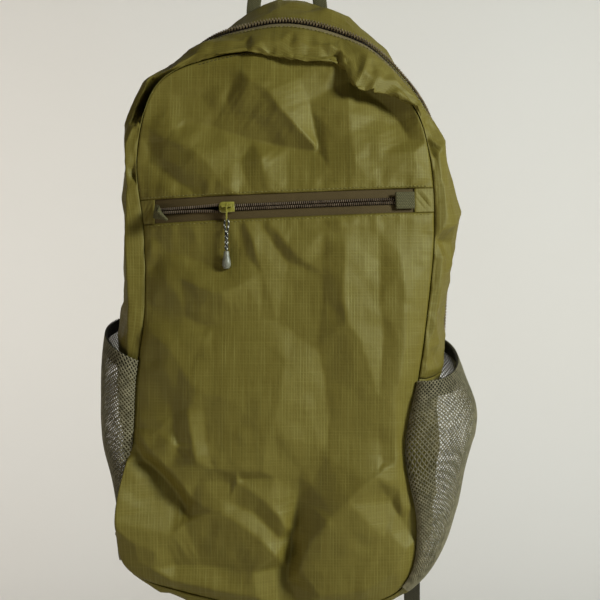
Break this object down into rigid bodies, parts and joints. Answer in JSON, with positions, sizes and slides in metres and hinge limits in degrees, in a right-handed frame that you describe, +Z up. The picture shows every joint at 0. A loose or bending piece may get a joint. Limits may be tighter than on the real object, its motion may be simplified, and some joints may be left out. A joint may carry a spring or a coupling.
{
  "type": "lightweight backpack",
  "caption": "Thin packable daypack hanging by its haul loop, with an arched main zip, a zipped front pocket with a corded puller and a net pocket on each side.",
  "frame": {"origin": "inside top of the haul loop, where a hook carries the bag", "axes": "+Z up as it hangs, -Y the front with the pocket zip, +Y the wearer's back, +X the viewer's right"},
  "size_m": [0.2797, 0.155, 0.5462],
  "materials": {
    "cloth": "thin ripstop nylon, satin",
    "zip_tape": "woven zip tape and coil, matt",
    "net": "knitted net, matt",
    "binding": "woven tape, matt",
    "webbing": "woven webbing, matt",
    "painted_metal": "painted, satin",
    "dark_plastic": "moulded, matt",
    "grey_plastic": "moulded, satin",
    "pull_cord": "braided cord, flecked"
  },
  "bodies": {
    "root": {"front_panel_upper": "cloth", "front_panel_lower": "cloth", "zip_end_patch_left": "cloth", "zip_end_patch_right": "cloth", "gusset_front": "cloth", "gusset_back": "cloth", "side_panel_left": "cloth", "side_panel_right": "cloth", "bottom_panel": "cloth", "back_panel": "cloth", "strap_pad_left": "cloth", "strap_pad_right": "cloth", "pocket_zip_upper": "zip_tape", "pocket_zip_lower": "zip_tape", "main_zip_front": "zip_tape", "main_zip_back": "zip_tape", "net_pocket_left": "net", "net_pocket_right": "net", "pocket_binding_left": "binding", "pocket_binding_right": "binding", "haul_loop": "webbing", "zip_loop_left": "webbing", "zip_loop_right": "webbing", "strap_tab_left": "webbing", "strap_tab_right": "webbing", "strap_webbing_left": "webbing", "strap_webbing_right": "webbing", "pocket_zip_slider": "painted_metal", "pocket_pull_tab": "painted_metal", "main_zip_slider": "painted_metal", "ladder_lock_left": "dark_plastic", "ladder_lock_right": "dark_plastic", "pocket_pull_end": "grey_plastic", "pocket_pull_cord": "pull_cord"}
  },
  "joints": []
}
